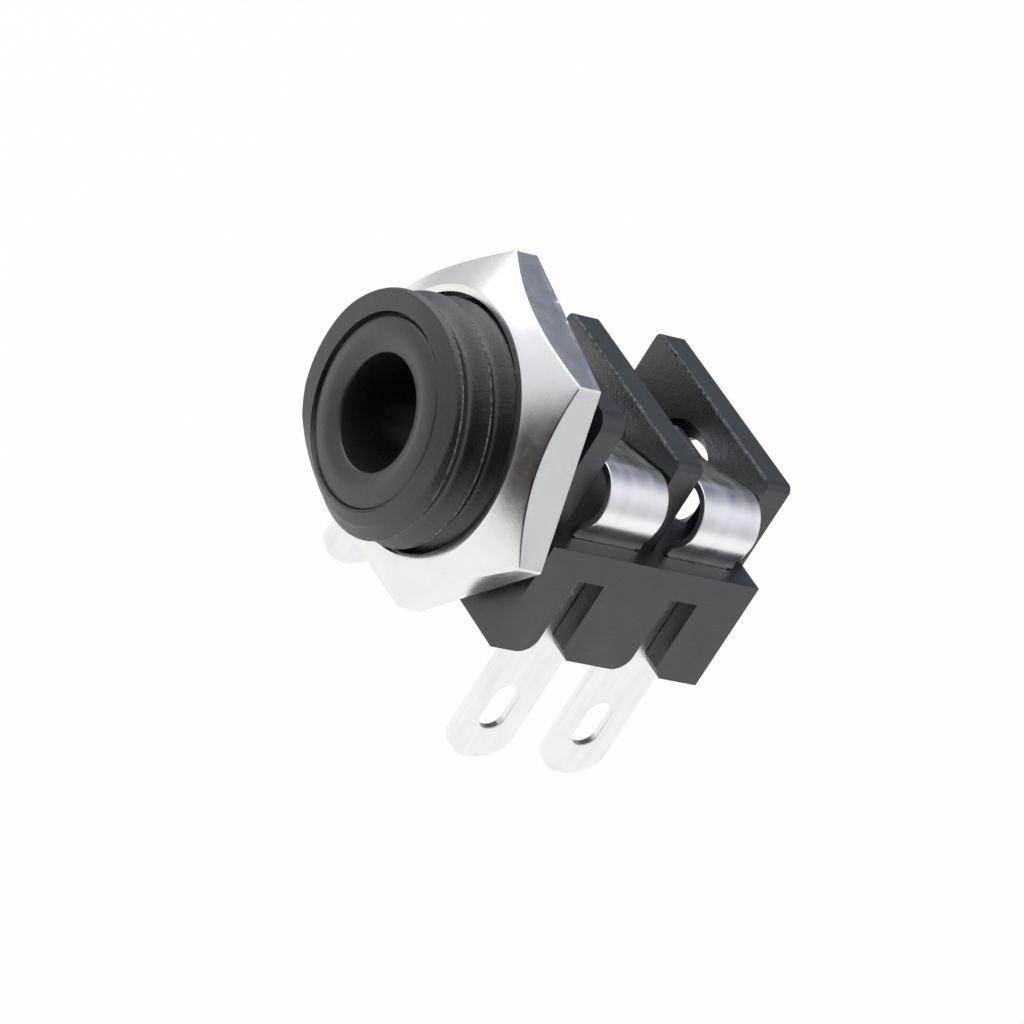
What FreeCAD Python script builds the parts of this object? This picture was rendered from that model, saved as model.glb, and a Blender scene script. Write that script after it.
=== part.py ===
# Mini jack socket for a panel: one moulded body with a threaded bush, a hexagon nut and three
# spring contacts. Millimetres. +Y runs back along the plug's axis, so the bush points to -Y,
# +Z is up and the solder tags hang down. The origin is on the bore axis, at the flange's front.
import FreeCAD, Part
from FreeCAD import Vector
import math
import os

# Bore and bush. The bore takes a plug of 3.5 mm.
plug_radius = 1.75
bore_clearance = 0.05
bore_radius = plug_radius + bore_clearance
bush_length = 4.47
lip_radius = 2.92
lip_inner_round = 0.14
lip_outer_round = 0.05
lip_length = 0.08

# Thread on the bush, 8 mm by 1 mm, as rings of the thread's own section.
thread_radius = 3.85
thread_depth = 0.46
thread_pitch = 1.0
thread_turns = 4
crest_flat = 0.14
root_flat = 0.18
first_crest_back = 0.42
first_crest_drop = 0.12

# Hexagon nut, at rest where the photograph has it, part of a turn short of the flange.
nut_across_flats = 9.85
nut_thickness = 1.85
nut_turn_deg = -20.8
nut_back_gap = 0.42
nut_running_gap = 0.06
nut_countersink = 0.12
nut_land = 0.22
nut_bevel_deg = 36.0

# Frame of the body: flange, middle plate and rear plate, standing on a block.
flange_thickness = 0.86
flange_half_width = 4.00
flange_top = 3.81
flange_corner = 0.55
plate_half_width = 3.88
plate_top = 2.74
plate_corner = 0.25
spring_to_middle_plate = 0.16
middle_plate_to_spring = 0.28
spring_to_rear_plate = 0.04
rear_plate_thickness = 0.93
block_top = -0.27
block_height = 3.85
outer_wall = 0.75
channel_clearance = 0.30
tip_hole_radius = 1.28
tip_seat_depth = 0.55

# Spring contacts, folded from one strip. Face means the outer face of the solder tag.
strip_thickness = 0.25
near_face = 4.27
far_face = 5.42
tag_width = 2.40
spring_width = 2.28
shoulder_front = 0.07
shoulder_back = 0.30
shoulder_height = 0.12
shoulder_taper = 0.85
shoulder_gap = 0.03
tag_drop = 4.56
tag_end_sag = 0.75
eye_width = 0.92
eye_length = 1.66
eye_above_tip = 1.98
front_contact_start = 1.20
contact_pitch = 3.70
pocket_clearance = 0.03

# Loop and arm of a contact on the near side, and of the one on the far side.
near_loop_radius = 1.00
near_loop_bulge = 0.50
near_loop_height = 2.27
ring_arm_slope_deg = 12.5
tip_arm_slope_deg = 15.5
near_arm_knee = 1.00
near_arm_end = -0.70
far_loop_radius = 0.75
far_loop_bulge = 0.30
far_loop_height = 1.77
far_arm_slope_deg = 6.0
far_arm_end = 1.30
root_bend_radius = 0.60
knee_bend_radius = 1.00

# Windows that show the tags through the outer walls of the block.
window_width = 1.07
window_from_tag_edge = 0.35
window_below_top = 1.01
window_round = 0.60
window_chamfer = 0.34

# Worked out from the values above.
bush_front = -bush_length
block_bottom = block_top - block_height
rear_contact_start = front_contact_start + contact_pitch
middle_plate_front = front_contact_start + spring_width + spring_to_middle_plate
middle_plate_back = rear_contact_start - middle_plate_to_spring
rear_plate_front = rear_contact_start + spring_width + spring_to_rear_plate
body_back = rear_plate_front + rear_plate_thickness
near_side = near_face + outer_wall
far_side = far_face + outer_wall
thread_root_radius = thread_radius - thread_depth
first_crest = bush_front + first_crest_back
nut_bore_radius = thread_radius + nut_running_gap
nut_bevel_radius = nut_bore_radius + nut_countersink + nut_land
nut_back = -nut_back_gap
nut_front = nut_back - nut_thickness
channel_radius = bore_radius + channel_clearance
tag_tip = block_bottom - tag_drop
overlap = 0.5


def box(x_low, x_high, y_low, y_high, z_low, z_high):
    size = (x_high - x_low, y_high - y_low, z_high - z_low)
    return Part.makeBox(*size, Vector(x_low, y_low, z_low))


def rod(radius, y_low, y_high):
    return Part.makeCylinder(radius, y_high - y_low, Vector(0, y_low, 0), Vector(0, 1, 0))


def quarter(start, corner_centre, end):
    """Quarter circle from start to end about a centre, as an edge."""
    radius = (start - corner_centre).Length
    middle = corner_centre + ((start + end) * 0.5 - corner_centre).normalize() * radius
    return Part.Arc(start, middle, end).toShape()


def polyline(points):
    return [Part.makeLine(a, b) for a, b in zip(points, points[1:])]


def on_section(radius, y):
    """Point of a turned section: distance from the axis, then place along it."""
    return Vector(radius, y, 0)


def lip_edges():
    """Rounded mouth of the bush, from inside the bore to the outside of the lip."""
    bore_end = bush_front + lip_inner_round
    rim_inner = bore_radius + lip_inner_round
    rim_outer = lip_radius - lip_outer_round
    mouth = quarter(
        on_section(bore_radius, bore_end),
        on_section(rim_inner, bore_end),
        on_section(rim_inner, bush_front),
    )
    rim = Part.makeLine(on_section(rim_inner, bush_front), on_section(rim_outer, bush_front))
    shoulder = bush_front + lip_outer_round
    outside = quarter(
        on_section(rim_outer, bush_front),
        on_section(rim_outer, shoulder),
        on_section(lip_radius, shoulder),
    )
    return [mouth, rim, outside]


def thread_points():
    """Section of the thread from the lip to the flange, one ridge a pitch."""
    shoulder = bush_front + lip_outer_round
    points = [on_section(lip_radius, shoulder), on_section(lip_radius, bush_front + lip_length)]
    for turn in range(thread_turns):
        crest = first_crest + turn * thread_pitch
        drop = first_crest_drop if turn == 0 else 0.0
        valley = crest + thread_pitch / 2
        points.append(on_section(thread_radius - drop, crest - crest_flat / 2))
        points.append(on_section(thread_radius - drop, crest + crest_flat / 2))
        points.append(on_section(thread_root_radius, valley - root_flat / 2))
        if turn < thread_turns - 1:
            points.append(on_section(thread_root_radius, valley + root_flat / 2))
    points.append(on_section(thread_root_radius, flange_thickness))
    return points


def bush():
    """Threaded bush with its bore, turned about the plug's axis."""
    inside_back = on_section(bore_radius, flange_thickness)
    bore_end = on_section(bore_radius, bush_front + lip_inner_round)
    outside = thread_points()
    edges = [Part.makeLine(inside_back, bore_end)] + lip_edges() + polyline(outside)
    edges.append(Part.makeLine(outside[-1], inside_back))
    section = Part.Face(Part.Wire(edges))
    return section.revolve(Vector(0, 0, 0), Vector(0, 1, 0), 360)


def plate(y_low, thickness, half_width, top, corner):
    """Upright plate with its two top corners rounded."""
    solid = box(-half_width, half_width, y_low, y_low + thickness, block_bottom, top)
    corners = [
        edge for edge in solid.Edges
        if edge.BoundBox.ZMin > top - 1e-6 and edge.BoundBox.YLength > thickness - 1e-6
    ]
    return solid.makeFillet(corner, corners)


def contact_starts():
    """Side, face distance and front edge of each contact's tag, by node name."""
    return {
        "ring_contact": (1, near_face, front_contact_start),
        "tip_contact": (1, near_face, rear_contact_start),
        "sleeve_contact": (-1, far_face, front_contact_start),
    }


def mirrored(solid, side):
    """The solid as drawn for the near side, or turned over to the far side."""
    if side > 0:
        return solid
    return solid.mirror(Vector(0, 0, 0), Vector(1, 0, 0))


def tag_pocket(face, start):
    """Upright slit through the block that holds a tag."""
    gap = pocket_clearance
    return box(
        face - strip_thickness - gap,
        face + gap,
        start - gap,
        start + tag_width + gap,
        block_bottom - overlap,
        block_top + overlap,
    )


def window(face, start):
    """Opening in the outer wall below a contact, rounded in front and bevelled behind."""
    front = start + window_from_tag_edge
    back = front + window_width
    top = block_top - window_below_top
    bottom = block_bottom

    def at(y, z):
        return Vector(face, y, z)

    round_start = at(front - window_round, bottom)
    round_end = at(front, bottom + window_round)
    arc = quarter(round_start, at(front - window_round, bottom + window_round), round_end)
    rest = polyline([
        round_end,
        at(front, top),
        at(back, top),
        at(back, bottom + window_chamfer),
        at(back + window_chamfer, bottom),
        at(back + window_chamfer, bottom - overlap),
        at(front - window_round, bottom - overlap),
        round_start,
    ])
    outline = Part.Face(Part.Wire([arc] + rest))
    return outline.extrude(Vector(outer_wall + overlap, 0, 0))


def tip_hole():
    """Hole in the rear plate that narrows to cup the plug's tip."""
    seat = Part.makeCone(bore_radius, tip_hole_radius, tip_seat_depth,
                         Vector(0, rear_plate_front, 0), Vector(0, 1, 0))
    return seat.fuse(rod(tip_hole_radius, rear_plate_front, body_back + overlap))


def socket_body():
    """Moulded body: bush, flange, two plates and the block that holds the tags."""
    block = box(-far_side, near_side, 0, body_back, block_bottom, block_top)
    middle_plate_thickness = middle_plate_back - middle_plate_front
    solids = [
        block,
        plate(0, flange_thickness, flange_half_width, flange_top, flange_corner),
        plate(middle_plate_front, middle_plate_thickness, plate_half_width, plate_top, plate_corner),
        plate(rear_plate_front, rear_plate_thickness, plate_half_width, plate_top, plate_corner),
    ]
    frame = solids[0].multiFuse(solids[1:])
    frame = frame.cut(rod(bore_radius, -overlap, rear_plate_front))
    frame = frame.cut(rod(channel_radius, flange_thickness, rear_plate_front))
    frame = frame.cut(tip_hole())
    body = frame.fuse(bush())
    for side, face, start in contact_starts().values():
        body = body.cut(mirrored(tag_pocket(face, start), side))
        body = body.cut(mirrored(window(face, start), side))
    return body.removeSplitter()


def hex_nut():
    """Hexagon nut with a bevelled front, lifted clear of the thread's crests."""
    corner_radius = nut_across_flats / math.sqrt(3)
    corners = []
    for index in range(7):
        angle = math.radians(nut_turn_deg + 60 * index)
        corners.append(Vector(corner_radius * math.sin(angle), nut_front, corner_radius * math.cos(angle)))
    prism = Part.Face(Part.makePolygon(corners)).extrude(Vector(0, nut_thickness, 0))
    reach = corner_radius + overlap
    bevel_depth = (reach - nut_bevel_radius) * math.tan(math.radians(nut_bevel_deg))
    turned = polyline([
        on_section(nut_bore_radius + nut_countersink, nut_front),
        on_section(nut_bevel_radius, nut_front),
        on_section(reach, nut_front + bevel_depth),
        on_section(reach, nut_back),
        on_section(nut_bore_radius + nut_countersink, nut_back),
        on_section(nut_bore_radius, nut_back - nut_countersink),
        on_section(nut_bore_radius, nut_front + nut_countersink),
        on_section(nut_bore_radius + nut_countersink, nut_front),
    ])
    ring = Part.Face(Part.Wire(turned)).revolve(Vector(0, 0, 0), Vector(0, 1, 0), 360)
    return prism.common(ring)


def bend(position, heading_deg, radius, turn_deg):
    """Arc from a point of the strip's middle line, left for a positive turn."""
    sign = 1 if turn_deg > 0 else -1
    heading = math.radians(heading_deg)
    left = Vector(-math.sin(heading), 0, math.cos(heading)) * sign
    centre = position + left * radius

    def at(share):
        angle = math.radians(turn_deg * share)
        spoke = position - centre
        x = spoke.x * math.cos(angle) - spoke.z * math.sin(angle)
        z = spoke.x * math.sin(angle) + spoke.z * math.cos(angle)
        return centre + Vector(x, 0, z)

    end = at(1.0)
    return Part.Arc(position, at(0.5), end).toShape(), end, heading_deg + turn_deg


def straight(position, heading_deg, length):
    heading = math.radians(heading_deg)
    end = position + Vector(math.cos(heading), 0, math.sin(heading)) * length
    return Part.makeLine(position, end), end


def spring_path(face, loop_radius, bulge, loop_height, slope_deg, knee, arm_end):
    """Middle line of a contact above the block, from the pocket round the loop to the arm's tip."""
    tag_x = face - strip_thickness / 2
    loop_x = tag_x + bulge - loop_radius
    loop_z = block_top + loop_height - loop_radius
    across = tag_x + root_bend_radius - loop_x
    root_turn = math.degrees(math.acos(across / (loop_radius + root_bend_radius)))
    root_z = loop_z - (loop_radius + root_bend_radius) * math.sin(math.radians(root_turn))
    start = Vector(tag_x, 0, block_top + shoulder_gap)
    root = Vector(tag_x, 0, root_z)
    edges = [Part.makeLine(start, root)]
    edge, place, heading = bend(root, 90, root_bend_radius, -root_turn)
    edges.append(edge)
    edge, place, heading = bend(place, heading, loop_radius, 90 + root_turn + slope_deg)
    edges.append(edge)
    edge, place = straight(place, heading, (place.x - knee) / math.cos(math.radians(slope_deg)))
    edges.append(edge)
    if arm_end < knee:
        edge, place, heading = bend(place, heading, knee_bend_radius, -slope_deg)
        edges.append(edge)
        edge, place = straight(place, heading, place.x - arm_end)
        edges.append(edge)
    return Part.Wire(edges)


def strip_outline(start):
    """Outline of a spring seen from the side: wide shoulders on the block, then the strip's width."""
    low = block_top + shoulder_gap - overlap
    shoulder = block_top + shoulder_gap + shoulder_height
    neck = shoulder + shoulder_taper
    high = block_top + near_loop_height + overlap
    back = start + spring_width
    corners = [
        (start - shoulder_front, low),
        (back + shoulder_back, low),
        (back + shoulder_back, shoulder),
        (back, neck),
        (back, high),
        (start, high),
        (start, neck),
        (start - shoulder_front, shoulder),
        (start - shoulder_front, low),
    ]
    reach = far_side + overlap
    face = Part.Face(Part.makePolygon([Vector(-reach, y, z) for y, z in corners]))
    return face.extrude(Vector(2 * reach, 0, 0))


def strip_along(path, start):
    """Strip of the sheet's thickness along a middle line, cut to the spring's outline."""
    band = path.makeOffset2D(strip_thickness / 2, 0, False, True)
    other = path.makeOffset2D(-strip_thickness / 2, 0, False, True)
    ends = [
        Part.makeLine(band.OrderedVertexes[0].Point, other.OrderedVertexes[0].Point),
        Part.makeLine(band.OrderedVertexes[-1].Point, other.OrderedVertexes[-1].Point),
    ]
    outline = Part.Wire(Part.__sortEdges__(band.Edges + other.Edges + ends))
    blank = Part.Face(outline).extrude(Vector(0, shoulder_front + spring_width + shoulder_back, 0))
    blank.translate(Vector(0, start - shoulder_front, 0))
    return blank.common(strip_outline(start))


def solder_tag(face, start):
    """Flat tag through the block, with a rounded end and a long eye for the wire."""
    inner = face - strip_thickness
    half = tag_width / 2
    middle = start + half
    shoulder = tag_tip + tag_end_sag
    corners = [
        Vector(inner, middle + half, shoulder),
        Vector(inner, middle + half, block_top + shoulder_gap),
        Vector(inner, middle - half, block_top + shoulder_gap),
        Vector(inner, middle - half, shoulder),
    ]
    end = Part.Arc(corners[3], Vector(inner, middle, tag_tip), corners[0]).toShape()
    blank = Part.Face(Part.Wire(polyline(corners) + [end]))
    tag = blank.extrude(Vector(strip_thickness, 0, 0))
    eye_z = tag_tip + eye_above_tip
    reach = (eye_length - eye_width) / 2
    eye = box(inner - overlap, face + overlap, middle - eye_width / 2, middle + eye_width / 2,
              eye_z - reach, eye_z + reach)
    for z in (eye_z - reach, eye_z + reach):
        end_round = Part.makeCylinder(eye_width / 2, strip_thickness + 2 * overlap,
                                      Vector(inner - overlap, middle, z), Vector(1, 0, 0))
        eye = eye.fuse(end_round)
    return tag.cut(eye)


def near_contact(start, arm_slope_deg):
    path = spring_path(near_face, near_loop_radius, near_loop_bulge, near_loop_height,
                       arm_slope_deg, near_arm_knee, near_arm_end)
    return strip_along(path, start).fuse(solder_tag(near_face, start)).removeSplitter()


def far_contact(start):
    path = spring_path(far_face, far_loop_radius, far_loop_bulge, far_loop_height,
                       far_arm_slope_deg, far_arm_end, far_arm_end)
    whole = strip_along(path, start).fuse(solder_tag(far_face, start)).removeSplitter()
    return mirrored(whole, -1)


def build():
    starts = {name: start for name, (side, face, start) in contact_starts().items()}
    return {
        "socket_body": socket_body(),
        "hex_nut": hex_nut(),
        "ring_contact": near_contact(starts["ring_contact"], ring_arm_slope_deg),
        "tip_contact": near_contact(starts["tip_contact"], tip_arm_slope_deg),
        "sleeve_contact": far_contact(starts["sleeve_contact"]),
    }


os.makedirs("parts", exist_ok=True)
for name, shape in build().items():
    shape.exportStep(f"parts/{name}.step")
    box_now = shape.BoundBox
    print(name, "solids", len(shape.Solids), "valid", shape.isValid(), "volume", round(shape.Volume, 3),
          "x", round(box_now.XMin, 2), round(box_now.XMax, 2),
          "y", round(box_now.YMin, 2), round(box_now.YMax, 2),
          "z", round(box_now.ZMin, 2), round(box_now.ZMax, 2))
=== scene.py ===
# %% [markdown]
# # A panel socket for a mini jack plug
# The real socket is one black moulded body with a threaded bush, a plated hexagon nut and three
# sprung contacts folded from thin strip. Its solid model is already packed as a fixed frame.
# This lesson loads that frame and dresses it: each cell makes one piece or one finish.
# Every length is written in millimetres, as on a drawing, and turned to metres once, by MM.

# %% Load the frame
import math
import bmesh
import bpy
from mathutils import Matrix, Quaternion, Vector, noise


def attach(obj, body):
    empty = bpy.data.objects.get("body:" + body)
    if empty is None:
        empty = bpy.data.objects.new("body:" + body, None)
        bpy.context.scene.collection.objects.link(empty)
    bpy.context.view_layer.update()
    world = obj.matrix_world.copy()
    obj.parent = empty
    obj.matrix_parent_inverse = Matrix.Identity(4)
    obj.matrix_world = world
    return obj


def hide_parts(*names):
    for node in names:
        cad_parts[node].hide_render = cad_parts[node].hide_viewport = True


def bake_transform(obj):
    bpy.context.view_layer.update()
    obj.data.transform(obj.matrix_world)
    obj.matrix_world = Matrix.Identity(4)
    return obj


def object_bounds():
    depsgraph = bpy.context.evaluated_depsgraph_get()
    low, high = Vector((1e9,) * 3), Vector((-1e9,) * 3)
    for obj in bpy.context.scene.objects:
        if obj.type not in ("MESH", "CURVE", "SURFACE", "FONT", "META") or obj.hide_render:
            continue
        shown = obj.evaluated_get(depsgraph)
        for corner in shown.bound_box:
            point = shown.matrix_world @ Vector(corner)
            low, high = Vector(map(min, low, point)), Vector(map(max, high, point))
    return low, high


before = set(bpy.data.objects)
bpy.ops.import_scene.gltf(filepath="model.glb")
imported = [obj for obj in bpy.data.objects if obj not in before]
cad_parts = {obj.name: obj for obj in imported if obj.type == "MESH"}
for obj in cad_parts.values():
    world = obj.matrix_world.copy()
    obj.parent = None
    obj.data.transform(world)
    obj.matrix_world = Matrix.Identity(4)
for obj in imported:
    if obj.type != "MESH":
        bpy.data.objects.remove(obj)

MM = 0.001
scene = bpy.context.scene
cad_low, cad_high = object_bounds()
print("CAD box, mm:", [round(v / MM, 2) for v in (*cad_low, *cad_high)])


# %% [markdown]
# ## The camera
# The socket was photographed from the front right and a little above, from fairly far away, so
# its edges stay nearly parallel. A long lens at the same angle gives the same shape. The picture
# is also turned in its plane, so a roll is added to the direction in which the camera looks.

# %% Camera
CAMERA_AZIMUTH = 47.125
CAMERA_ELEVATION = 24.055
CAMERA_ROLL = 32.468
CAMERA_DISTANCE = 193.29 * MM
CAMERA_AIM = Vector((0.3136, 2.1788, -2.2422)) * MM
LENS, SENSOR_WIDTH = 223.73, 36.0


def direction(azimuth_deg, elevation_deg):
    """Unit vector towards a place round the object: azimuth 0 is its front, 90 its right side."""
    azimuth, elevation = math.radians(azimuth_deg), math.radians(elevation_deg)
    level = math.cos(elevation)
    return Vector((math.sin(azimuth) * level, -math.cos(azimuth) * level, math.sin(elevation)))


camera_data = bpy.data.cameras.new("camera")
camera_data.lens, camera_data.sensor_width = LENS, SENSOR_WIDTH
camera_data.clip_start = 1 * MM
camera = bpy.data.objects.new("camera", camera_data)
scene.collection.objects.link(camera)
towards_camera = direction(CAMERA_AZIMUTH, CAMERA_ELEVATION)
camera.location = CAMERA_AIM + towards_camera * CAMERA_DISTANCE
camera.rotation_mode = "QUATERNION"
roll = Quaternion((0, 0, 1), math.radians(CAMERA_ROLL))
camera.rotation_quaternion = (-towards_camera).to_track_quat("-Z", "Y") @ roll
scene.camera = camera
scene.view_settings.view_transform = "Standard"
print("camera at, mm:", [round(v / MM, 1) for v in camera.location])


# %% [markdown]
# ## Helpers for materials
# Paint charts and photographs give colours as sRGB hex values, but a shader works in linear
# light, so one function turns one into the other. Another adds a node to a tree: its own
# settings are named arguments, and each input gets a value or a link from another node. Three
# short ones start a material, fill a colour ramp and turn a real size into a texture scale.

# %% Colour and node helpers
def linear(hex_colour):
    """Linear red, green, blue and alpha of an sRGB hex colour such as #3a3c40."""
    channels = [int(hex_colour[i:i + 2], 16) / 255 for i in (1, 3, 5)]
    curve = [c / 12.92 if c <= 0.04045 else ((c + 0.055) / 1.055) ** 2.4 for c in channels]
    return (*curve, 1.0)


def add(tree, kind, inputs=None, **settings):
    """Adds a node of a kind, with its settings, and gives its inputs values or links."""
    node = tree.nodes.new("ShaderNode" + kind)
    for name, value in settings.items():
        setattr(node, name, value)
    for name, value in (inputs or {}).items():
        if isinstance(value, bpy.types.NodeSocket):
            tree.links.new(value, node.inputs[name])
        else:
            node.inputs[name].default_value = value
    return node


def new_material(name):
    """An empty material, its node tree and the Principled shader that ends it."""
    material = bpy.data.materials.new(name)
    material.use_nodes = True
    tree = material.node_tree
    return material, tree, tree.nodes["Principled BSDF"]


def set_stops(ramp, stops):
    """Gives a colour ramp its stops, each a position and an sRGB hex colour."""
    while len(ramp.color_ramp.elements) < len(stops):
        ramp.color_ramp.elements.new(0.5)
    for element, (position, hex_colour) in zip(ramp.color_ramp.elements, stops):
        element.position, element.color = position, linear(hex_colour)


def per_mm(size):
    """Texture scale at which one cell of a pattern is that many millimetres wide."""
    return 1 / (size * MM)


print("white is", linear("#ffffff"), "and mid grey is", [round(c, 3) for c in linear("#808080")])


# %% [markdown]
# ## Moulded black plastic
# The body is injection moulded in black nylon. The steel of the mould was spark eroded, so the
# skin is satin, with a grain of about 0.05 mm, drawn twice as coarse so that it shows. It takes
# a soft grey sheen from a white room, and the specular level is raised until that sheen matches
# the real one. Under the grain are slow drifts of roughness, where the plastic flowed, and here
# and there a pale fleck of dust or a scuff. One noise gives the drift of colour and roughness,
# one the grain, and one the flecks.

# %% Material: moulded black nylon, satin from a spark-eroded mould
NYLON_IOR = 1.53
GRAIN = 0.10
FLOW_MARK = 1.3
FLECK = 0.34
plastic, tree, shader = new_material("moulded_black_nylon")
place = add(tree, "TexCoord").outputs["Object"]
flow = add(tree, "TexNoise", {"Vector": place, "Scale": per_mm(FLOW_MARK), "Detail": 4.0})
grain = add(tree, "TexNoise", {"Vector": place, "Scale": per_mm(GRAIN), "Detail": 3.0})
fleck = add(tree, "TexNoise", {"Vector": place, "Scale": per_mm(FLECK), "Detail": 6.0,
                               "Roughness": 0.75})
body_colour = add(tree, "ValToRGB", {"Fac": flow.outputs["Fac"]})
set_stops(body_colour, [(0.30, "#11151a"), (0.72, "#181d23")])
fleck_mask = add(tree, "MapRange", {"Value": fleck.outputs["Fac"], "From Min": 0.685,
                                    "From Max": 0.80, "To Max": 0.75})
flecked = add(tree, "MixRGB", {"Fac": fleck_mask.outputs["Result"],
                               "Color1": body_colour.outputs["Color"],
                               "Color2": linear("#74787d")})
satin = add(tree, "MapRange", {"Value": flow.outputs["Fac"], "From Min": 0.25, "From Max": 0.75,
                               "To Min": 0.33, "To Max": 0.46})
skin = add(tree, "Bump", {"Height": grain.outputs["Fac"], "Strength": 0.55,
                          "Distance": 0.015 * MM})
pitted = add(tree, "Bump", {"Height": fleck.outputs["Fac"], "Strength": 0.30,
                            "Distance": 0.05 * MM, "Normal": skin.outputs["Normal"]})
tree.links.new(flecked.outputs["Color"], shader.inputs["Base Color"])
tree.links.new(satin.outputs["Result"], shader.inputs["Roughness"])
tree.links.new(pitted.outputs["Normal"], shader.inputs["Normal"])
shader.inputs["IOR"].default_value = NYLON_IOR
shader.inputs["Specular IOR Level"].default_value = 0.95
print("material", plastic.name, "with", len(tree.nodes), "nodes")


# %% [markdown]
# The bore was formed by a polished core pin, so its wall is glossy, and it lies in its own
# shade. The eye sees it as plain black, so a second, smoother finish goes on those faces.

# %% Material: moulded black nylon, glossy from a polished core pin
DRAW_MARK = 0.4
polished_plastic, tree, shader = new_material("core_pin_black_nylon")
draw = add(tree, "TexNoise", {"Vector": add(tree, "TexCoord").outputs["Object"],
                              "Scale": per_mm(DRAW_MARK), "Detail": 3.0})
gloss = add(tree, "MapRange", {"Value": draw.outputs["Fac"], "To Min": 0.22, "To Max": 0.34})
tree.links.new(gloss.outputs["Result"], shader.inputs["Roughness"])
shader.inputs["Base Color"].default_value = linear("#2b2d30")
shader.inputs["IOR"].default_value = NYLON_IOR
print("material", polished_plastic.name, "with", len(tree.nodes), "nodes")


# %% [markdown]
# Where two halves of a mould meet, a thin line of flash is left. It is paler and drier than the
# skin, in specks: partly rubbed by fingers and by the nut, and partly a painted highlight where
# the crests and edges catch the light. One ramp over a fine noise gives the specks; the faces
# along the crests and the beads on the plates get this finish.

# %% Material: black nylon flash, rubbed pale in specks, with a painted highlight
SPECK = 0.16
flash_and_highlight_plastic, tree, shader = new_material("black_nylon_flash_painted_highlight")
specks = add(tree, "TexNoise", {"Vector": add(tree, "TexCoord").outputs["Object"],
                                "Scale": per_mm(SPECK), "Detail": 5.0, "Roughness": 0.7})
# The pale stop is partly the rubbed specks and partly a painted highlight on crests and edges.
pale_highlight_ramp = add(tree, "ValToRGB", {"Fac": specks.outputs["Fac"]})
set_stops(pale_highlight_ramp, [(0.40, "#262a2d"), (0.62, "#7d8388")])
speck_skin = add(tree, "Bump", {"Height": specks.outputs["Fac"], "Strength": 0.5,
                                "Distance": 0.03 * MM})
tree.links.new(pale_highlight_ramp.outputs["Color"], shader.inputs["Base Color"])
tree.links.new(speck_skin.outputs["Normal"], shader.inputs["Normal"])
shader.inputs["Roughness"].default_value = 0.5
shader.inputs["IOR"].default_value = NYLON_IOR
print("material", flash_and_highlight_plastic.name, "with", len(tree.nodes), "nodes")


# %% [markdown]
# ## Nickel plate over turned brass
# The nut is brass bar, turned and tumbled in a barrel, then plated with bright nickel. Tumbling
# leaves a fine, even haze, so the plate mirrors the room softly and shows small dents. The metal
# is a little warm. A coarse noise drifts its colour, and finer ones press in the dents, the haze
# and the faint lines along the axis, which the bar got as it was drawn through its die.

# %% Material: nickel plate, tumbled
DRIFT = 1.6
HAZE = 0.07
DENT = 0.45
DRAW_LINE, DRAW_LENGTH = 0.10, 1.6
nickel, tree, shader = new_material("tumbled_nickel_plate")
place = add(tree, "TexCoord").outputs["Object"]
drift = add(tree, "TexNoise", {"Vector": place, "Scale": per_mm(DRIFT), "Detail": 3.0})
haze = add(tree, "TexNoise", {"Vector": place, "Scale": per_mm(HAZE), "Detail": 4.0,
                              "Roughness": 0.7})
dents = add(tree, "TexNoise", {"Vector": place, "Scale": per_mm(DENT), "Detail": 5.0})
plate_colour = add(tree, "MixRGB", {"Fac": drift.outputs["Fac"], "Color1": linear("#ededeb"),
                                    "Color2": linear("#f8f8f7")})
gloss = add(tree, "MapRange", {"Value": dents.outputs["Fac"], "From Min": 0.3, "From Max": 0.7,
                               "To Min": 0.23, "To Max": 0.29})
drawn = add(tree, "Mapping", {"Vector": place, "Scale": (per_mm(DRAW_LINE), per_mm(DRAW_LENGTH),
                              per_mm(DRAW_LINE))})
lines = add(tree, "TexNoise", {"Vector": drawn.outputs["Vector"], "Scale": 1.0, "Detail": 3.0,
                               "Roughness": 0.6})
line_skin = add(tree, "Bump", {"Height": lines.outputs["Fac"], "Strength": 0.06,
                               "Distance": 0.006 * MM})
haze_skin = add(tree, "Bump", {"Height": haze.outputs["Fac"], "Strength": 0.16,
                               "Distance": 0.010 * MM, "Normal": line_skin.outputs["Normal"]})
dent_skin = add(tree, "Bump", {"Height": dents.outputs["Fac"], "Strength": 0.04,
                               "Distance": 0.020 * MM, "Normal": haze_skin.outputs["Normal"]})
tree.links.new(plate_colour.outputs["Color"], shader.inputs["Base Color"])
tree.links.new(gloss.outputs["Result"], shader.inputs["Roughness"])
tree.links.new(dent_skin.outputs["Normal"], shader.inputs["Normal"])
shader.inputs["Metallic"].default_value = 1.0
print("material", nickel.name, "with", len(tree.nodes), "nodes")


# %% [markdown]
# ## Tin plate over rolled bronze strip
# The contacts are blanked from cold-rolled spring bronze and dipped in tin. Rolling draws fine
# streaks along the strip, about 0.05 mm apart, and the tin over them is soft and silvery. All
# three strips run up and over in the X-Z plane, so a noise that is fine along Y and long along
# X and Z lays the streaks the right way on the tags and round the loops alike. A broader noise,
# drawn out the same way, is the tin itself, wiped thick and thin as it left the bath.

# %% Material: tin plate on rolled strip
STREAK_ACROSS = 0.05
STREAK_ALONG = 2.5
SMEAR_ACROSS, SMEAR_ALONG = 0.45, 1.8
tin, tree, shader = new_material("tinned_rolled_bronze")
place = add(tree, "TexCoord").outputs["Object"]
stretch = add(tree, "Mapping", {"Vector": place, "Scale": (per_mm(STREAK_ALONG),
                                per_mm(STREAK_ACROSS), per_mm(STREAK_ALONG))})
streak = add(tree, "TexNoise", {"Vector": stretch.outputs["Vector"], "Scale": 1.0,
                                "Detail": 4.0, "Roughness": 0.6})
draw_out = add(tree, "Mapping", {"Vector": place, "Scale": (per_mm(SMEAR_ALONG),
                                 per_mm(SMEAR_ACROSS), per_mm(SMEAR_ALONG))})
smear = add(tree, "TexNoise", {"Vector": draw_out.outputs["Vector"], "Scale": 1.0,
                               "Detail": 5.0})
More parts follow.
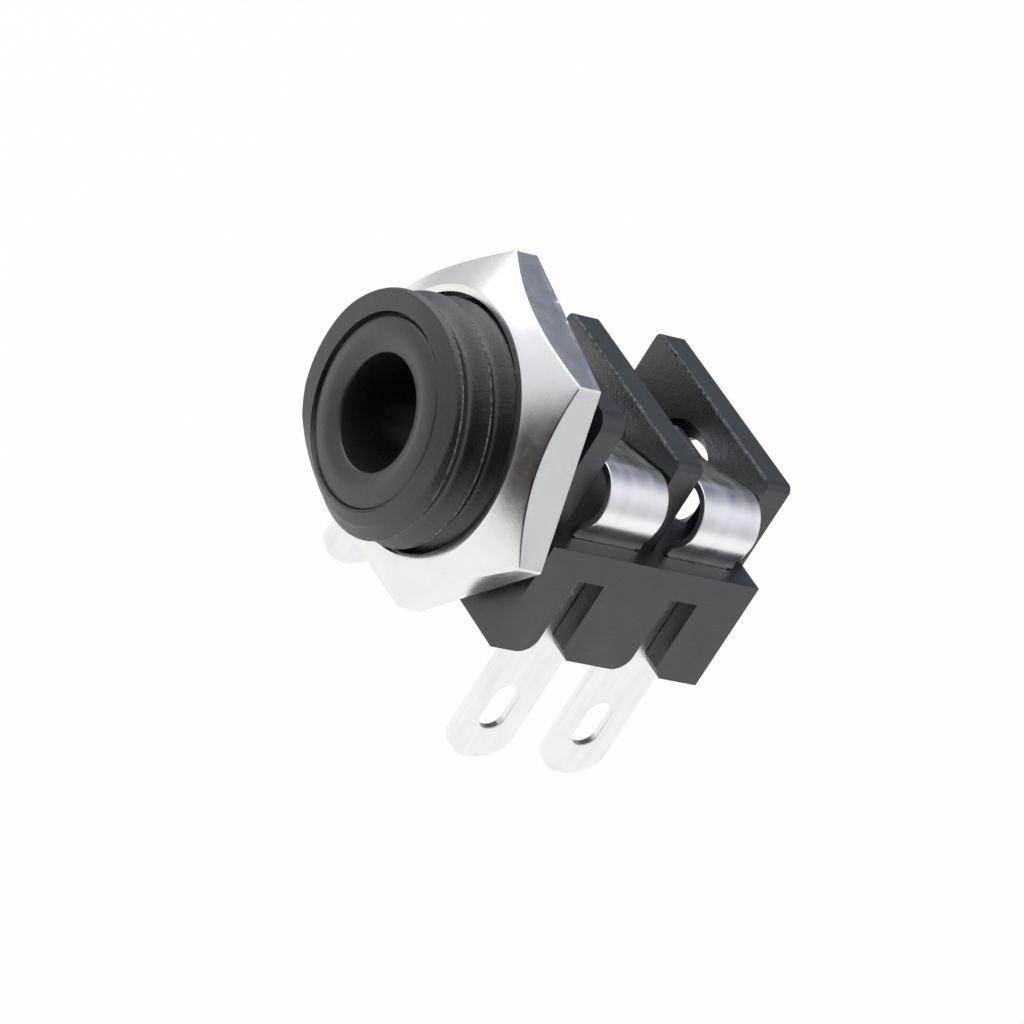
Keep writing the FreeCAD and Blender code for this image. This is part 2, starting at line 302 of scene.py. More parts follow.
smeared = add(tree, "MapRange", {"Value": smear.outputs["Fac"], "From Min": 0.30,
                                 "From Max": 0.66})
tin_colour = add(tree, "MixRGB", {"Fac": smeared.outputs["Result"], "Color1": linear("#eceef0"),
                                  "Color2": linear("#fdfdfd")})
sheen = add(tree, "MapRange", {"Value": smear.outputs["Fac"], "From Min": 0.3, "From Max": 0.7,
                               "To Min": 0.24, "To Max": 0.36})
streak_skin = add(tree, "Bump", {"Height": streak.outputs["Fac"], "Strength": 0.16,
                                 "Distance": 0.006 * MM})
smear_skin = add(tree, "Bump", {"Height": smear.outputs["Fac"], "Strength": 0.12,
                                "Distance": 0.020 * MM, "Normal": streak_skin.outputs["Normal"]})
tree.links.new(tin_colour.outputs["Color"], shader.inputs["Base Color"])
tree.links.new(sheen.outputs["Result"], shader.inputs["Roughness"])
tree.links.new(smear_skin.outputs["Normal"], shader.inputs["Normal"])
shader.inputs["Metallic"].default_value = 1.0
print("material", tin.name, "with", len(tree.nodes), "nodes")


# %% [markdown]
# ## A helper that turns a section round the bush's axis
# Bush and nut are ring-shaped: walk once round a section that closes on itself, step a little
# round the axis, and walk it again. Joining neighbouring sections gives only four-sided faces
# and no holes. A lathe would do the same with one fixed section; here each step may have its
# own, which is what a thread or a hexagon needs.

# %% Ring skin helper
WELD = 0.0005


def finish_piece(name, mesh, material, smooth_deg):
    """Object for a mesh, shaded smooth but for edges sharper than an angle."""
    mesh.materials.clear()
    mesh.materials.append(material)
    mesh.polygons.foreach_set("use_smooth", [True] * len(mesh.polygons))
    mesh.set_sharp_from_angle(angle=math.radians(smooth_deg))
    piece = bpy.data.objects.new(name, mesh)
    scene.collection.objects.link(piece)
    print(name, "has", len(mesh.polygons), "faces")
    return piece


def ring_skin(name, sections, material, smooth_deg, closed=True):
    """Skin through sections, each a loop of as many points in mm; it meets itself or has ends."""
    bm = bmesh.new()
    loops = [[bm.verts.new(Vector(p) * MM) for p in section] for section in sections]
    if not closed:
        bm.faces.new(loops[0])
        bm.faces.new(loops[-1])
    for this, following in zip(loops, loops[1:] + (loops[:1] if closed else [])):
        for k in range(len(this)):
            after = (k + 1) % len(this)
            bm.faces.new((this[k], this[after], following[after], following[k]))
    bmesh.ops.remove_doubles(bm, verts=bm.verts, dist=WELD * MM)
    bmesh.ops.dissolve_degenerate(bm, edges=bm.edges, dist=WELD * MM)
    bmesh.ops.recalc_face_normals(bm, faces=bm.faces)
    mesh = bpy.data.meshes.new(name)
    bm.to_mesh(mesh)
    bm.free()
    return finish_piece(name, mesh, material, smooth_deg)


def round_axis(radius, y, angle):
    """Point beside the Y axis: angle 0 is straight up, and a quarter turn is to the right."""
    return (radius * math.sin(angle), y, radius * math.cos(angle))


def eased(value, low, high):
    """0 below low, 1 above high, and an even S between them."""
    t = min(1.0, max(0.0, (value - low) / (high - low)))
    return t * t * (3 - 2 * t)


print("1 mm out, a quarter turn from the top:",
      [round(v, 3) for v in round_axis(1, 0, math.pi / 2)])


# %% [markdown]
# ## The threaded bush
# The bush screws through the panel. Its thread is 8 mm by 1 mm and right-handed: the first
# ridge swells out of the front end at the lower left, runs up over the top, and each turn lies
# 1 mm further back. The mould closed along the crests, so they carry a fine bead of flash. In
# front is a rounded nose round the bore, parted from the thread by a narrow groove. A helix
# can't be turned on a lathe, so each section round the axis is shifted by its share of the
# pitch. Short tables give the sections, and one function reads between their rows.

# %% Sections of the bush
BUSH_FRONT, FLANGE_FACE = -4.47, 0.0
BORE_RADIUS, NOSE_RADIUS, GROOVE_RADIUS = 1.80, 2.92, 3.04
CREST_RADIUS, ROOT_RADIUS, PITCH = 3.85, 3.39, 1.0
CREST_WEAR, WORN_FROM, WORN_TO = 0.10, -4.2, -3.1
FLASH_AND_HIGHLIGHT_BAND, NOSE_DEPTH, END_SETBACK = 0.012, 0.18, 0.04
# Where the bush's skin ends on the flange face, out of sight inside the body.
COVERED_RADIUS = 2.6
FIRST_CREST_AT_TOP = -4.20
THREAD_START_DEG = 195.0
STEPS_ROUND, STEP_OUT, END_STEPS = 300, 0.004, 10
# Height of a ridge, from root 0 to crest 1, against the share of a pitch from its crest.
RIDGE = [(0.0, 1.045), (0.018, 1.03), (0.032, 0.985), (0.06, 0.93), (0.10, 0.85), (0.18, 0.63),
         (0.27, 0.38), (0.35, 0.17), (0.41, 0.05), (0.46, 0.01), (0.5, 0.0)]
# Slope of the thread's front end, and depth of the groove, against the share of a turn.
END_SLOPE = [(0.0, 0.79), (0.03, 0.60), (0.06, 0.38), (0.10, 0.13), (0.14, 0.05), (0.42, 0.05),
             (0.60, 0.40), (0.80, 0.50), (1.0, 0.79)]
GROOVE_DEPTH = [(0.0, 0.05), (0.06, 0.10), (0.15, 0.20), (0.42, 0.20), (0.55, 0.06), (1.0, 0.05)]
# The nose and the mouth: distance from the axis, and how far behind the front.
NOSE = [(2.92, 0.150), (2.905, 0.126), (2.87, 0.101), (2.80, 0.074), (2.70, 0.045),
        (2.58, 0.019), (2.46, 0.003), (2.36, 0.001), (2.26, 0.013), (2.16, 0.040), (2.07, 0.073),
        (1.99, 0.106), (1.93, 0.132), (1.88, 0.155), (1.845, 0.174), (1.82, 0.196), (1.80, 0.24),
        (1.80, 0.6), (1.80, 1.2), (1.80, 2.4), (1.80, 3.6)]


def between(table, x):
    """Value of a table of (x, value) rows, on straight lines between the rows."""
    for (low, before), (high, after) in zip(table, table[1:]):
        if x <= high:
            return before + (after - before) * (x - low) / (high - low)
    return table[-1][1]


def worn_crest(y):
    """Radius of the crests at y: the front turns are worn lower."""
    return CREST_RADIUS - CREST_WEAR * (1 - eased(y, WORN_FROM, WORN_TO))


def thread_radius(y, crest_y):
    """Outside of the thread at y, where one crest passes crest_y."""
    share = abs(((y - crest_y) / PITCH + 0.5) % 1.0 - 0.5)
    return ROOT_RADIUS + (worn_crest(y) - ROOT_RADIUS) * between(RIDGE, share)


print("the crests are", 2 * worn_crest(FLANGE_FACE), "mm across at the flange and",
      2 * worn_crest(BUSH_FRONT), "mm at the front")


# %% [markdown]
# One section runs from the flange forward over the ridges, down the thread's end into the groove,
# round the nose and back down the bore. Where the end's slope meets the thread is found by
# stepping outwards along the slope. The bore's wall gets the core pin's gloss, and the highest
# faces along the crests get the pale flash finish, which also paints the highlight on the crests.

# %% Bush
def bush_section(step):
    """Section of the bush at one step round, from the flange forward and back down the bore."""
    angle = 2 * math.pi * step / STEPS_ROUND
    turned = (math.degrees(angle) - THREAD_START_DEG) % 360 / 360
    crest_y = FIRST_CREST_AT_TOP + (turned - 1 + THREAD_START_DEG / 360) * PITCH
    end, slope = BUSH_FRONT + END_SETBACK, between(END_SLOPE, turned)
    radius = GROOVE_RADIUS
    while radius < thread_radius(end + (radius - GROOVE_RADIUS) * slope, crest_y):
        radius += STEP_OUT
    cut = end + (radius - GROOVE_RADIUS) * slope
    shares = sorted({round(s, 3) for at, _ in RIDGE for s in (at, 1 - at)} - {1.0}, reverse=True)
    outside = []
    for turn in range(5, -2, -1):
        for share in shares:
            y = min(FLANGE_FACE, max(cut, crest_y + (turn + share) * PITCH))
            outside.append((thread_radius(y, crest_y) if y > cut else radius, y))
    for k in reversed(range(END_STEPS)):
        r = GROOVE_RADIUS + (radius - GROOVE_RADIUS) * k / END_STEPS
        outside.append((r, end + (r - GROOVE_RADIUS) * slope))
    floor = end + between(GROOVE_DEPTH, turned)
    outside += [(GROOVE_RADIUS - 0.03, floor - 0.03), (GROOVE_RADIUS - 0.06, floor),
                (NOSE_RADIUS + 0.03, floor - 0.01)]
    outside += [(r, BUSH_FRONT + back) for r, back in NOSE]
    outside += [(BORE_RADIUS, FLANGE_FACE), (COVERED_RADIUS, FLANGE_FACE)]
    return [round_axis(r, y, angle) for r, y in outside]


bush = ring_skin("threaded_bush", [bush_section(k) for k in range(STEPS_ROUND)], plastic, 50)
bush.data.materials.append(polished_plastic)
bush.data.materials.append(flash_and_highlight_plastic)
for face in bush.data.polygons:
    spot = face.center / MM
    radius = math.hypot(spot.x, spot.z)
    if radius < BORE_RADIUS + 0.01 and spot.y > BUSH_FRONT + NOSE_DEPTH:
        face.material_index = 1
    # The crest faces get the pale flash finish, partly a painted highlight along the crests.
    elif radius > worn_crest(spot.y) - FLASH_AND_HIGHLIGHT_BAND:
        face.material_index = 2
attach(bush, "socket")


# %% [markdown]
# ## The moulded frame
# Behind the flange the body is a frame: a block with a round channel for the plug, and plates
# that stand on it. The solid model already has these forms, so its mesh is copied, the bush's
# plain rings are cut away, and the flat faces are joined again. A moulding never has a knife
# edge, so every corner gets a small radius.

# %% Moulded frame
CUT_BEHIND_BUSH = -0.01
MOULD_RADIUS, FRAME_WELD = 0.05, 0.001
FLAT_WITHIN_DEG, ROUNDED_FROM_DEG = 1, 32


def rounded_copy(node, name, material, edge_radius):
    """Copy of a node's mesh with flat faces joined and sharp edges rounded."""
    bm = bmesh.new()
    bm.from_mesh(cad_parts[node].data)
    bmesh.ops.remove_doubles(bm, verts=bm.verts, dist=FRAME_WELD * MM)
    cut = bmesh.ops.bisect_plane(bm, geom=bm.verts[:] + bm.edges[:] + bm.faces[:],
                                 plane_co=(0, CUT_BEHIND_BUSH * MM, 0), plane_no=(0, -1, 0),
                                 clear_outer=True)
    rim = [e for e in cut["geom_cut"] if isinstance(e, bmesh.types.BMEdge)]
    bmesh.ops.triangle_fill(bm, edges=rim, use_beauty=True)
    bmesh.ops.dissolve_limit(bm, angle_limit=math.radians(FLAT_WITHIN_DEG), verts=bm.verts,
                             edges=bm.edges)
    bmesh.ops.recalc_face_normals(bm, faces=bm.faces)
    mesh = bpy.data.meshes.new(name)
    bm.to_mesh(mesh)
    bm.free()
    piece = finish_piece(name, mesh, material, 30)
    bevel = piece.modifiers.new("mould_radius", "BEVEL")
    bevel.width, bevel.segments = edge_radius * MM, 3
    bevel.limit_method, bevel.angle_limit = "ANGLE", math.radians(ROUNDED_FROM_DEG)
    return piece


body = rounded_copy("socket_body", "moulded_frame", plastic, MOULD_RADIUS)
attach(body, "socket")
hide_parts("socket_body")


# %% [markdown]
# The mould also parted along the front upper edges of the two plates and down the windows in
# the block. Plastic crept into the gap there and left ragged beads. Each bead is a small
# five-sided section drawn along its edge, and a noise makes it swell, thin out and nearly stop.

# %% Beads of flash
BEAD_STEP, SUNK_SIDE, SUNK_OTHER = 0.05, 0.05, 0.08
LONG_WAVE, SHORT_WAVE = 2.1, 7.0
# Start and end of each line, and how far its bead may swell along each of the two faces.
FLASH = {
    "middle_plate_flash": ((-3.6, 3.64, 2.74), (3.62, 3.64, 2.74), (0, -0.09, 0), (0, 0, 0.09)),
    "rear_plate_flash": ((-3.6, 7.22, 2.74), (3.62, 7.22, 2.74), (0, -0.10, 0), (0, 0, 0.10)),
    "front_window_flash": ((4.97, 1.54, -1.24), (4.97, 1.54, -2.50), (0, 0.36, 0), (0.07, 0, 0)),
    "rear_window_flash": ((4.97, 5.24, -1.24), (4.97, 5.24, -2.30), (0, 0.32, 0), (0.07, 0, 0)),
}


def flash_sections(start, end, side, other_side):
    """Sections of a bead from start to end, swelling along two directions by a noise."""
    start, end, side, other_side = (Vector(v) for v in (start, end, side, other_side))
    count = int((end - start).length / BEAD_STEP)
    in_side, in_other = side.normalized() * SUNK_SIDE, other_side.normalized() * SUNK_OTHER
    sections = []
    for k in range(count + 1):
        middle = start.lerp(end, k / count)
        swell = noise.noise(middle * LONG_WAVE) + 0.7 * noise.noise(middle * SHORT_WAVE)
        out = min(1.0, k / 4, (count - k) / 4) * min(1.0, max(0.06, 0.35 + 0.9 * swell))
        sections.append([middle - in_side + other_side * out * 0.3,
                         middle + side * out * 0.4 + other_side * out,
                         middle + side * out + other_side * out * 0.2,
                         middle - in_other + side * out * 0.15,
                         middle - in_other * 0.7 - in_side])
    return sections


for name, line in FLASH.items():
    # The beads take the pale flash finish, partly a painted highlight along these edges.
    bead = ring_skin(name, flash_sections(*line), flash_and_highlight_plastic, 40, closed=False)
    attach(bead, "socket")


# %% [markdown]
# ## The hexagon nut
# The nut is cut from hexagon bar. Its front was turned to a shallow cone that takes the corners
# off, so each flat ends in an arc. Parting it off left a fine burr round the back. Its own
# thread shows inside the hole as narrow ridges; they clear the bush's crests. The outline is
# walked as a hexagon with slightly rounded corners, and each step gets the whole section.

# %% Hexagon nut
NUT_BACK, NUT_THICKNESS = -0.42, 1.85
NUT_FRONT = NUT_BACK - NUT_THICKNESS
ACROSS_FLATS, NUT_TURN_DEG = 9.85, -20.8
NUT_BORE, COUNTERSINK, LAND, CONE_DEG = 3.91, 0.12, 0.22, 36.0
CORNER_ROUND, EDGE_ROUND, BURR = 0.12, 0.06, 0.02
INNER_RIDGE_DEPTH, BURR_WAVE = 0.30, 4.5
HALF_FLAT_STEPS, CORNER_STEPS, EDGE_STEPS, BORE_STEPS = 20, 5, 6, 40


def hexagon_outline():
    """Points of the outline as (angle, distance from the axis), corners slightly rounded."""
    apothem, points = ACROSS_FLATS / 2, []
    for side in range(6):
        middle = math.radians(NUT_TURN_DEG + 30 + 60 * side)
        inner = apothem - CORNER_ROUND
        reach = inner * math.tan(math.radians(30))
        flat = [(apothem, reach * (k / HALF_FLAT_STEPS - 1))
                for k in range(2 * HALF_FLAT_STEPS + 1)]
        turn = [math.radians(60 * k / CORNER_STEPS) for k in range(1, CORNER_STEPS)]
        corner = [(inner + CORNER_ROUND * math.cos(a), reach + CORNER_ROUND * math.sin(a))
                  for a in turn]
        points += [(middle + math.atan2(t, n), math.hypot(n, t)) for n, t in flat + corner]
    return points


def nut_section(angle, outer):
    """Section of the nut at one angle, from the front of the hole out, back and in again."""
    cone_start = NUT_BORE + COUNTERSINK + LAND
    slope = math.tan(math.radians(CONE_DEG))
    edge = NUT_FRONT + (outer - cone_start) * slope
    points = [(NUT_BORE + COUNTERSINK, NUT_FRONT + 0.01), (cone_start - 0.1, NUT_FRONT),
              (cone_start, NUT_FRONT + 0.01), (cone_start + 0.1, NUT_FRONT + 0.1 * slope)]
    start, end = cone_start + 0.1, outer - EDGE_ROUND
    points += [(start + (end - start) * s, NUT_FRONT + (start + (end - start) * s - cone_start)
                * slope) for s in (0.35, 0.7)]
    for k in range(EDGE_STEPS + 1):
        s = k / EDGE_STEPS
        along, back = (1 - s) ** 2, s ** 2
        points.append((outer - EDGE_ROUND * along, edge - EDGE_ROUND * slope * along
                       + EDGE_ROUND * 0.6 * back))
    ragged = BURR * (0.4 + 0.9 * noise.noise(Vector(round_axis(outer, 0, angle)) * BURR_WAVE))
    points += [(outer, NUT_BACK - 0.35), (outer, NUT_BACK - 0.10),
               (outer + ragged, NUT_BACK - 0.045), (outer + 0.4 * ragged, NUT_BACK - 0.004),
               (outer - 0.05, NUT_BACK), (NUT_BORE + COUNTERSINK + 0.1, NUT_BACK),
               (NUT_BORE + COUNTERSINK, NUT_BACK)]
    for k in range(BORE_STEPS):
        y = NUT_BACK - 0.03 - (NUT_THICKNESS - 0.06) * k / (BORE_STEPS - 1)
        share = (y - angle / (2 * math.pi) * PITCH) / PITCH % 1.0
        ridge = abs(share - 0.5) * 2
        depth = INNER_RIDGE_DEPTH * min(1.0, max(0.0, ridge * 1.4 - 0.2))
        points.append((NUT_BORE + max(depth, 0.02), y))
    return [round_axis(r, y, angle) for r, y in points]


nut = ring_skin("hexagon_nut", [nut_section(a, r) for a, r in hexagon_outline()], nickel, 24)
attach(nut, "nut")
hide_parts("hex_nut")


# %% [markdown]
# ## The contacts: blank, then fold
# A press blanks each contact flat from the strip: a rounded tag with a long eye for the wire,
# shoulders that stay above the block, and the spring. Then it is folded over a pin. Here a
# filled curve gives the blank, a fine row of cuts across it lets it bend, and a map from flat
# length to the folded line folds it. The outline comes first.

# %% Outline of a blank
STRIP, STRIP_EDGE = 0.25, 0.035
BLOCK_TOP, TAG_TIP = -0.27, -8.68
TAG_WIDTH, TAG_SAG = 2.40, 0.75
EYE_WIDTH, EYE_LENGTH, EYE_FROM_TIP = 0.92, 1.66, 1.98
SPRING_WIDTH, SHOULDER_FRONT, SHOULDER_BACK = 2.28, 0.07, 0.30
SHOULDER_FROM, SHOULDER_TO, NECK = 8.44, 8.56, 9.50
ARM_CORNER = 0.2


def arc(centre, radius, start_deg, end_deg, count):
    """Points of an arc in the blank's plane: length along the strip, then Y."""
    step = (end_deg - start_deg) / (count - 1)
    angles = [math.radians(start_deg + step * k) for k in range(count)]
    return [(centre[0] + radius * math.cos(a), centre[1] + radius * math.sin(a)) for a in angles]


def blank_outline(length):
    """Outline of a blank whose front edge is at Y 0: tag, shoulders, neck and spring."""
    half = TAG_WIDTH / 2
    end_radius = (half ** 2 + TAG_SAG ** 2) / (2 * TAG_SAG)
    spread = math.degrees(math.asin(half / end_radius))
    tip = arc((end_radius, half), end_radius, 180 + spread, 180 - spread, 21)
    rise = [(SHOULDER_FROM, TAG_WIDTH), (SHOULDER_FROM, SPRING_WIDTH + SHOULDER_BACK),
            (SHOULDER_TO, SPRING_WIDTH + SHOULDER_BACK), (NECK, SPRING_WIDTH)]
    end = arc((length - ARM_CORNER, SPRING_WIDTH - ARM_CORNER), ARM_CORNER, 90, 0, 6)
    end += arc((length - ARM_CORNER, ARM_CORNER), ARM_CORNER, 0, -90, 6)
    fall = [(NECK, 0), (SHOULDER_TO, -SHOULDER_FRONT), (SHOULDER_FROM, -SHOULDER_FRONT),
            (SHOULDER_FROM, 0)]
    return tip + rise + end + fall


def eye_outline():
    """The long eye in the tag."""
    reach = (EYE_LENGTH - EYE_WIDTH) / 2
    half = EYE_WIDTH / 2
    middle = TAG_WIDTH / 2
    return (arc((EYE_FROM_TIP + reach, middle), half, -90, 90, 17)
            + arc((EYE_FROM_TIP - reach, middle), half, 90, 270, 17))


print("a blank 18 mm long has an outline of", len(blank_outline(18.0)), "points")


# %% [markdown]
# Both outlines go into one flat curve. Filling it gives the strip's thickness and the rounded
# edge that the press leaves, and leaves the eye open.

# %% Blank
def blank_mesh(name, length):
    """Flat blank as a mesh, with the strip's thickness and rounded edges."""
    curve = bpy.data.curves.new(name, "CURVE")
    curve.dimensions, curve.fill_mode = "2D", "BOTH"
    curve.extrude, curve.bevel_depth = STRIP / 2 - STRIP_EDGE, STRIP_EDGE
    curve.bevel_resolution, curve.offset = 1, -STRIP_EDGE
    for outline in (blank_outline(length), eye_outline()):
        spline = curve.splines.new("POLY")
        spline.points.add(len(outline) - 1)
        for point, (s, y) in zip(spline.points, outline):
            point.co = (s, y, 0, 1)
        spline.use_cyclic_u = True
    holder = bpy.data.objects.new(name, curve)
    scene.collection.objects.link(holder)
    mesh = bpy.data.meshes.new_from_object(
        holder.evaluated_get(bpy.context.evaluated_depsgraph_get()))
    bpy.data.objects.remove(holder)
    return mesh


# %% [markdown]
# The folded line is a chain of straights and arcs, each given by its length and the angle that
# it turns. Walking the chain gives, for any length along the blank, the place and the heading
# of the strip's middle, and the blank's points are carried there.

# %% Folded line
ROOT_BEND, KNEE_BEND = 0.60, 1.00
WALK_END = 1e-9


def walk(chain, distance):
    """Place and heading in the X-Z plane, that far along a chain of (length, turn) steps."""
    x, z, heading = chain["start"]
    for k, (length, turn) in enumerate(chain["steps"]):
        last = k == len(chain["steps"]) - 1
        part = distance if last else min(distance, length)
        if turn:
            radius = length / math.radians(turn)
            after = heading + math.radians(turn) * part / length
            x += radius * (math.sin(after) - math.sin(heading))
            z -= radius * (math.cos(after) - math.cos(heading))
            heading = after
        else:
            x += part * math.cos(heading)
            z += part * math.sin(heading)
        distance -= part
        if distance <= WALK_END:
            break
    return x, z, heading


def spring_chain(face, loop_radius, bulge, loop_height, slope_deg, knee, arm_end):
    """Folded line of a contact, up from the tip of its tag, for the socket's right side."""
    tag_x = face - STRIP / 2
    loop_x, loop_z = tag_x + bulge - loop_radius, BLOCK_TOP + loop_height - loop_radius
    reach = loop_radius + ROOT_BEND
    root_turn = math.acos((tag_x + ROOT_BEND - loop_x) / reach)
    root_z = loop_z - reach * math.sin(root_turn)
    slope = math.radians(slope_deg)
    loop_turn = math.pi / 2 + root_turn + slope
    steps = [(root_z - TAG_TIP, 0), (ROOT_BEND * root_turn, -math.degrees(root_turn)),
             (loop_radius * loop_turn, math.degrees(loop_turn))]
    chain = {"start": (tag_x, TAG_TIP, math.pi / 2), "steps": steps}
    loop_end = walk(chain, sum(length for length, _ in steps))[0]
    steps.append(((loop_end - knee) / math.cos(slope), 0))
    if arm_end < knee:
        steps.append((KNEE_BEND * slope, -slope_deg))
        knee_end = walk(chain, sum(length for length, _ in steps))[0]
        steps.append((knee_end - arm_end, 0))
    return chain


NEAR = {"face": 4.27, "loop_radius": 1.00, "bulge": 0.50, "loop_height": 2.27, "knee": 1.00,
        "arm_end": -0.70}
FAR = {"face": 5.42, "loop_radius": 0.75, "bulge": 0.30, "loop_height": 1.77, "slope_deg": 6.0,
       "knee": 1.30, "arm_end": 1.30}
# Chain, place of the front edge, and side of each contact.
CONTACTS = {
    "ring": (spring_chain(slope_deg=12.5, **NEAR), 1.20, 1),
    "tip": (spring_chain(slope_deg=15.5, **NEAR), 4.90, 1),
    "sleeve": (spring_chain(**FAR), 1.20, -1),
}
for name, (chain, front, side) in CONTACTS.items():
    print(name, "strip is", round(sum(length for length, _ in chain["steps"]), 2), "mm long")


# %% [markdown]
# Folding cuts the blank finely across from its first bend on, so that it can follow the arcs,
# and then carries each point to its place beside the folded line.

# %% Fold
FOLD_STEP, CUTS_START, BLANK_WELD = 0.055, 0.02, 0.002


def folded_contact(name, chain, front, side):
    """Blank folded along its chain, its front edge at Y front, on the right or left side."""
    length = sum(step for step, _ in chain["steps"])
    mesh = blank_mesh(name, length)
    bm = bmesh.new()
    bm.from_mesh(mesh)
    bmesh.ops.remove_doubles(bm, verts=bm.verts, dist=BLANK_WELD)
    first_bend = chain["steps"][0][0]
    cuts = int((length - first_bend) / FOLD_STEP)
    for k in range(cuts):
        where = first_bend - CUTS_START + (length - first_bend) * k / cuts
        bmesh.ops.bisect_plane(bm, geom=bm.verts[:] + bm.edges[:] + bm.faces[:],
                               plane_co=(where, 0, 0), plane_no=(1, 0, 0))
    for v in bm.verts:
        x, z, heading = walk(chain, v.co.x)
        out = v.co.z
        v.co = Vector((side * (x + out * math.sin(heading)), v.co.y + front,
                       z - out * math.cos(heading))) * MM
    bmesh.ops.recalc_face_normals(bm, faces=bm.faces)
    bm.to_mesh(mesh)
    bm.free()
    return finish_piece(name, mesh, tin, 20)


# %% [markdown]
# Its tag stays in the block, and its loop and arm spring away as a plug pushes them. Each folded
# strip is set in place, and the contact it stands for in the frame is hidden.

# %% The three contacts
for name, (chain, front, side) in CONTACTS.items():
    contact = folded_contact(name + "_spring_strip", chain, front, side)
    node = name + "_contact"
    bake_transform(contact)
    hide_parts(node)


# %% [markdown]
# ## The room
# The socket was photographed over a white sheet that runs far out of focus, so the picture's
# background is pure white and the shadow falls outside it. A wide white floor well below the
# socket does that. It shows white to the camera and in the metal by its own colour. A small
# share of its lit surface is mixed in, so the socket's soft shadow stays faintly on it.

# %% Floor
FLOOR_DROP = 26.0
OWN_WHITE, FIBRE = 0.95, 1.2
FLOOR_BACK, FLOOR_FRONT, FLOOR_RIGHT, FLOOR_LEFT = 700.0, 120.0, 46.0, 140.0
sheet, tree, shader = new_material("white_paper_sheet")
fibre = add(tree, "TexNoise", {"Vector": add(tree, "TexCoord").outputs["Object"],
                               "Scale": per_mm(FIBRE), "Detail": 4.0})
paper_skin = add(tree, "Bump", {"Height": fibre.outputs["Fac"], "Strength": 0.1,
                                "Distance": 0.05 * MM})
tree.links.new(paper_skin.outputs["Normal"], shader.inputs["Normal"])
shader.inputs["Base Color"].default_value = linear("#f4f4f4")
shader.inputs["Roughness"].default_value = 0.9
path = add(tree, "LightPath")
seen = add(tree, "Math", {0: path.outputs["Is Camera Ray"], 1: path.outputs["Is Glossy Ray"]},
           operation="MAXIMUM")
seen = add(tree, "Math", {0: seen.outputs[0], 1: path.outputs["Is Transmission Ray"]},
           operation="MAXIMUM")
white = add(tree, "Emission", {"Color": linear("#ffffff"), "Strength": 1.0})
seen = add(tree, "Math", {0: seen.outputs[0], 1: OWN_WHITE}, operation="MULTIPLY")
shown = add(tree, "MixShader", {0: seen.outputs[0], 1: shader.outputs[0], 2: white.outputs[0]})
tree.links.new(shown.outputs[0], tree.nodes["Material Output"].inputs["Surface"])

bm = bmesh.new()
corners = [bm.verts.new((x * MM, y * MM, cad_low.z - FLOOR_DROP * MM))
           for x, y in ((-FLOOR_LEFT, -FLOOR_FRONT), (FLOOR_RIGHT, -FLOOR_FRONT),
                        (FLOOR_RIGHT, FLOOR_BACK), (-FLOOR_LEFT, FLOOR_BACK))]
bm.faces.new(corners)
floor_mesh = bpy.data.meshes.new("floor")
bm.to_mesh(floor_mesh)
bm.free()
floor = finish_piece("floor", floor_mesh, sheet, 30)


# %% [markdown]
# The light is a white tent, a little grey at the horizon. It is open at the back left, where
# the room is blue-grey: that is the dark band along the tops of the springs and the tone of the
# nut's upper flat. In front, beyond the edge of the paper, a dark screen stands round the
# camera. It shades the ridges of the bush and makes the smudge on the nut's cone. The world
# carries all of it, as colours that depend only on the direction in the room.

# %% World helpers
room = bpy.data.worlds.new("light_tent")
scene.world = room
room.use_nodes = True
tree = room.node_tree
look = add(tree, "TexCoord").outputs["Generated"]
height = add(tree, "SeparateXYZ", {"Vector": look}).outputs["Z"]


def soft_share(value, low, high):
    """0 where a value is below low and 1 above high, with a soft edge between."""
    return add(tree, "MapRange", {"Value": value, "From Min": low, "From Max": high},
               interpolation_type="SMOOTHSTEP").outputs["Result"]


def near(azimuth_deg, elevation_deg, low, high):
    """Soft mask round a direction, from the cosine of the angle between it and the ray."""
    towards = direction(azimuth_deg, elevation_deg)
    dot = add(tree, "VectorMath", {0: look, 1: towards}, operation="DOT_PRODUCT")
    return soft_share(dot.outputs["Value"], low, high)


def by_height(stops):
    """Colour against the height of a ray, -1 straight down and 1 straight up."""
    ramp = add(tree, "ValToRGB", {"Fac": add(tree, "MapRange", {
        "Value": height, "From Min": -1.0, "From Max": 1.0}).outputs["Result"]})
    set_stops(ramp, [((level + 1) / 2, hex_colour) for level, hex_colour in stops])
    return ramp.outputs["Color"]


print("the camera looks from", [round(v, 3) for v in direction(CAMERA_AZIMUTH, CAMERA_ELEVATION)])


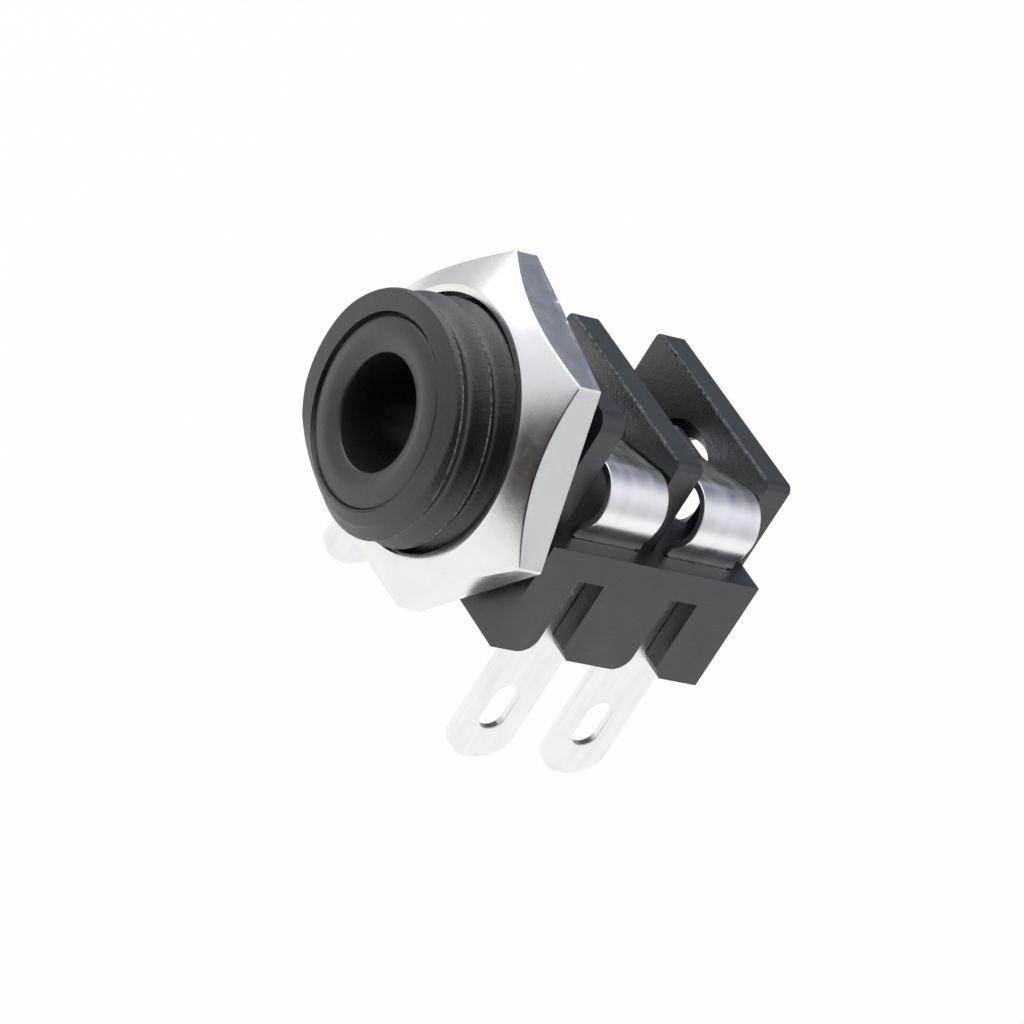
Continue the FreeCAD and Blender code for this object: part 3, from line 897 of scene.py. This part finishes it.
# %% [markdown]
# The tent, the opening and the screen are laid over one another. The camera itself sees plain
# white in their place, so the background stays clean while the metal still mirrors the room.

# %% World


tent = by_height([(-0.30, "#ffffff"), (-0.14, "#cfcfd2"), (0.14, "#cccdd0"), (0.50, "#e9eaf2"),
                  (0.85, "#fbfbff")])
outside = by_height([(0.10, "#828b99"), (0.38, "#98a1ae"), (0.53, "#757c8e"), (0.68, "#5c646f"),
                     (0.84, "#b6bfce")])
opening = near(219, 22, 0.50, 0.86)
screen = near(44, 9, 0.73, 0.84)
scenery = add(tree, "MixRGB", {"Fac": opening, "Color1": tent, "Color2": outside})
scenery = add(tree, "MixRGB", {"Fac": screen, "Color1": scenery.outputs["Color"],
                               "Color2": linear("#241917")})
background = tree.nodes["Background"]
tree.links.new(scenery.outputs["Color"], background.inputs["Color"])
background.inputs["Strength"].default_value = 1.0
path = add(tree, "LightPath")
white = add(tree, "Background", {"Color": linear("#ffffff"), "Strength": 1.0})
shown = add(tree, "MixShader", {0: path.outputs["Is Camera Ray"], 1: background.outputs[0],
                                2: white.outputs[0]})
tree.links.new(shown.outputs[0], tree.nodes["World Output"].inputs["Surface"])
print("light tent has", len(tree.nodes), "nodes")


# %% [markdown]
# One lamp shapes the black plastic: a large soft box high at the front left. It draws the grey
# gradients round the bush's lip and gives the ridges a light and a dark side.

# %% Lamp
LAMP_DISTANCE = 300.0


def soft_box(name, azimuth_deg, elevation_deg, size, watts):
    """Square area lamp turned towards the object."""
    data = bpy.data.lights.new(name, "AREA")
    data.shape, data.size, data.energy = "SQUARE", size * MM, watts
    lamp = bpy.data.objects.new(name, data)
    towards = direction(azimuth_deg, elevation_deg)
    lamp.location = CAMERA_AIM + towards * LAMP_DISTANCE * MM
    lamp.rotation_mode = "QUATERNION"
    lamp.rotation_quaternion = (-towards).to_track_quat("-Z", "Y")
    scene.collection.objects.link(lamp)
    print(name, "gives", watts, "W from", [round(v / MM) for v in lamp.location])


soft_box("front_left_box", -76, 48, 340, 0.44)
